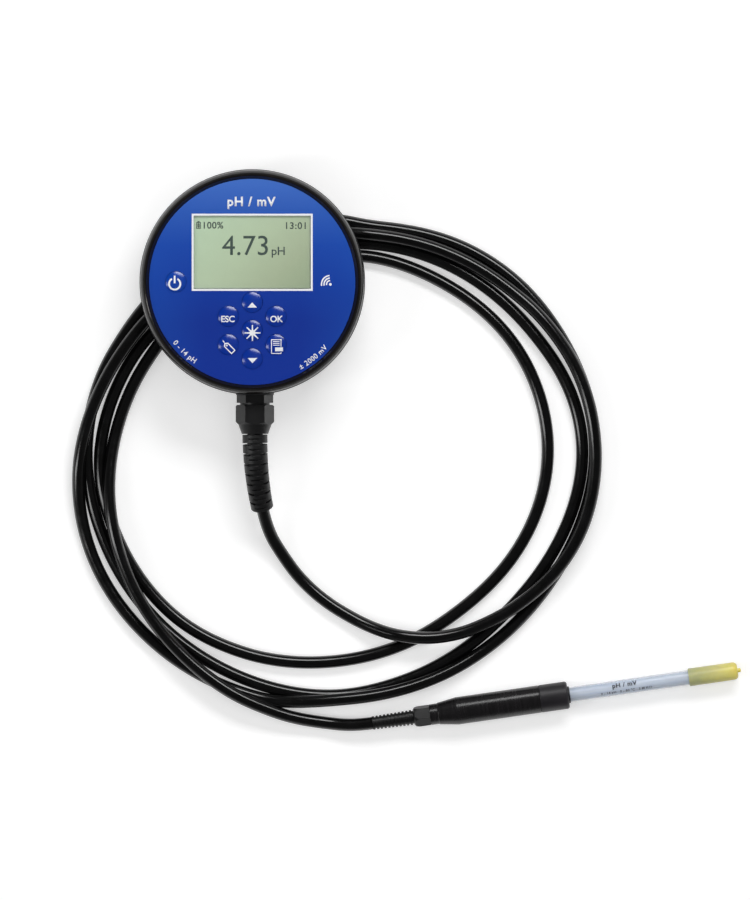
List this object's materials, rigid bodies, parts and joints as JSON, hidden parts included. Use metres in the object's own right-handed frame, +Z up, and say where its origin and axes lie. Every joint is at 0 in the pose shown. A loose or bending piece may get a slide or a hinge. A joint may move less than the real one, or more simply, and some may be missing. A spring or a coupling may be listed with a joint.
{
  "type": "redox probe with handheld meter",
  "caption": "Round handheld meter with display and keys, lying on its coiled lead, which ends in a slim probe with a clear electrode tube and a storage cap.",
  "frame": {"origin": "on the table, under the middle of the footprint of the meter and the probe", "axes": "+Z up, +Y from the keys of the meter towards its display, +X to the right as the display is read"},
  "size_m": [0.3151, 0.2645, 0.0424],
  "materials": {
    "housing": "moulded, satin black",
    "bezel": "polished black",
    "face": "printed blue film, glossy",
    "keys": "domed blue keys with white symbols",
    "display_window": "clear pane",
    "display_border": "white print",
    "display_panel": "grey-green liquid crystal",
    "seal": "soft black rubber",
    "screws": "plain steel",
    "board": "green circuit board",
    "switches": "black moulding",
    "cells": "plain sleeved steel can",
    "contacts": "plated spring steel",
    "gland": "black nylon",
    "relief": "moulded black rubber",
    "lead": "glossy black jacket",
    "handle": "turned charcoal plastic",
    "collar": "turned charcoal plastic, satin",
    "electrode_tube": "clear tube with small print",
    "electrode_plug": "potting",
    "inner_tube": "clear glass",
    "silver_wire": "silver",
    "platinum": "platinum",
    "cap": "translucent yellow rubber"
  },
  "bodies": {
    "meter_and_probe": {"rear_housing": "housing", "front_bezel": "bezel", "housing_seal": "seal", "housing_screws": "screws", "face_plate": "face", "display_window": "display_window", "display_border": "display_border", "display_panel": "display_panel", "key_switches": "switches", "circuit_board": "board", "board_screws": "screws", "battery_front": "cells", "battery_rear": "cells", "battery_contacts": "contacts", "battery_cover": "housing", "battery_cover_seal": "seal", "battery_cover_screws": "screws", "gland_body": "gland", "gland_locknut": "gland", "gland_seal": "seal", "gland_nut": "gland", "cable_entry": "lead", "strain_relief": "relief", "cable_lead": "lead", "cable_coil": "lead", "cable_tail": "lead", "probe_strain_relief": "relief", "probe_gland_nut": "gland", "probe_handle": "handle", "probe_board": "board", "probe_collar": "collar", "probe_o_ring": "seal", "tube_seal": "seal", "electrode_tube": "electrode_tube", "electrode_plug": "electrode_plug", "inner_tube": "inner_tube", "reference_wire": "silver_wire", "platinum_pin": "platinum"},
    "key_power": {"key_power": "keys"},
    "key_up": {"key_up": "keys"},
    "key_escape": {"key_escape": "keys"},
    "key_ok": {"key_ok": "keys"},
    "key_light": {"key_light": "keys"},
    "key_probe": {"key_probe": "keys"},
    "key_log": {"key_log": "keys"},
    "key_down": {"key_down": "keys"},
    "storage_cap": {"storage_cap": "cap"}
  },
  "joints": [
    {"name": "key_power_press", "type": "slide", "parent": "meter_and_probe", "child": "key_power", "axis": [0, 0, -1], "range_m": [0, 0.0004], "stiffness_N_per_m": 300},
    {"name": "key_up_press", "type": "slide", "parent": "meter_and_probe", "child": "key_up", "axis": [0, 0, -1], "range_m": [0, 0.0004], "stiffness_N_per_m": 300},
    {"name": "key_escape_press", "type": "slide", "parent": "meter_and_probe", "child": "key_escape", "axis": [0, 0, -1], "range_m": [0, 0.0004], "stiffness_N_per_m": 300},
    {"name": "key_ok_press", "type": "slide", "parent": "meter_and_probe", "child": "key_ok", "axis": [0, 0, -1], "range_m": [0, 0.0004], "stiffness_N_per_m": 300},
    {"name": "key_light_press", "type": "slide", "parent": "meter_and_probe", "child": "key_light", "axis": [0, 0, -1], "range_m": [0, 0.0004], "stiffness_N_per_m": 300},
    {"name": "key_probe_press", "type": "slide", "parent": "meter_and_probe", "child": "key_probe", "axis": [0, 0, -1], "range_m": [0, 0.0004], "stiffness_N_per_m": 300},
    {"name": "key_log_press", "type": "slide", "parent": "meter_and_probe", "child": "key_log", "axis": [0, 0, -1], "range_m": [0, 0.0004], "stiffness_N_per_m": 300},
    {"name": "key_down_press", "type": "slide", "parent": "meter_and_probe", "child": "key_down", "axis": [0, 0, -1], "range_m": [0, 0.0004], "stiffness_N_per_m": 300},
    {"name": "storage_cap_pull", "type": "slide", "parent": "meter_and_probe", "child": "storage_cap", "axis": [0.9898, 0.1426, 0], "range_m": [0, 0.04]}
  ]
}
